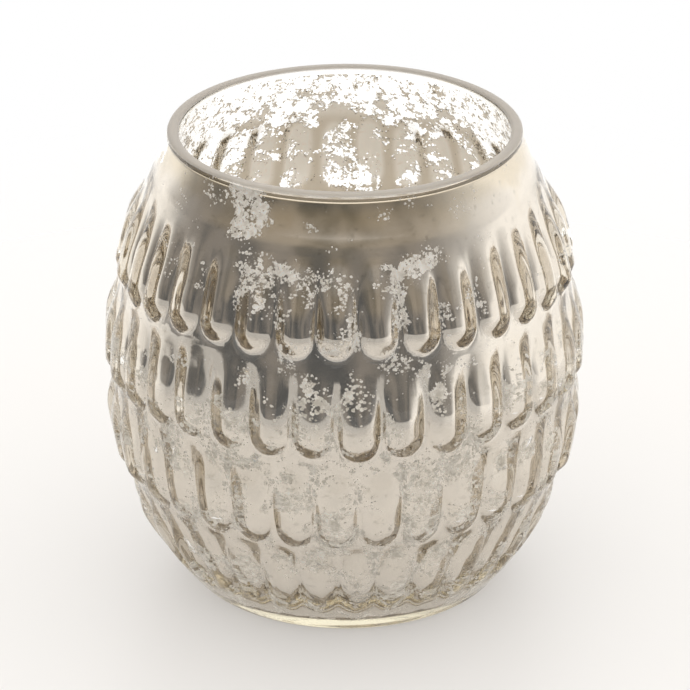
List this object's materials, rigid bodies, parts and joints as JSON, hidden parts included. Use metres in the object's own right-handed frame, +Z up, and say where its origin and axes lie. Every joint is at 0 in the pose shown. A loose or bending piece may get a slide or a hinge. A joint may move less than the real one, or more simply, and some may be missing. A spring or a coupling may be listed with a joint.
{
  "type": "tealight holder",
  "caption": "Barrel-shaped moulded glass tealight holder, silvered inside, with staggered tiers of rounded lobes and a removable tealight.",
  "frame": {"origin": "centre of the underside, on the surface that the holder stands on", "axes": "+Z up along the vessel's axis; the round vessel has no front, and the pictured side faces -Y"},
  "size_m": [0.0898, 0.0898, 0.089],
  "materials": {
    "clear_glass": "clear, slightly olive moulded glass, fire-polished",
    "silver_film": "antiqued silver mirror with flaked and speckled patches",
    "cup_aluminium": "bright pressed foil",
    "wax": "white paraffin wax, satin and slightly translucent",
    "tinplate": "bright tinplate",
    "wick_cotton": "waxed braided cotton"
  },
  "bodies": {
    "holder": {"glass_vessel": "clear_glass", "silver_lining": "silver_film"},
    "tealight": {"tealight_cup": "cup_aluminium", "wax": "wax", "wick_sustainer": "tinplate", "wick": "wick_cotton"}
  },
  "joints": [
    {"name": "tealight_lift", "type": "slide", "parent": "holder", "child": "tealight", "axis": [0, 0, 1], "range_m": [0, 0.1]}
  ]
}
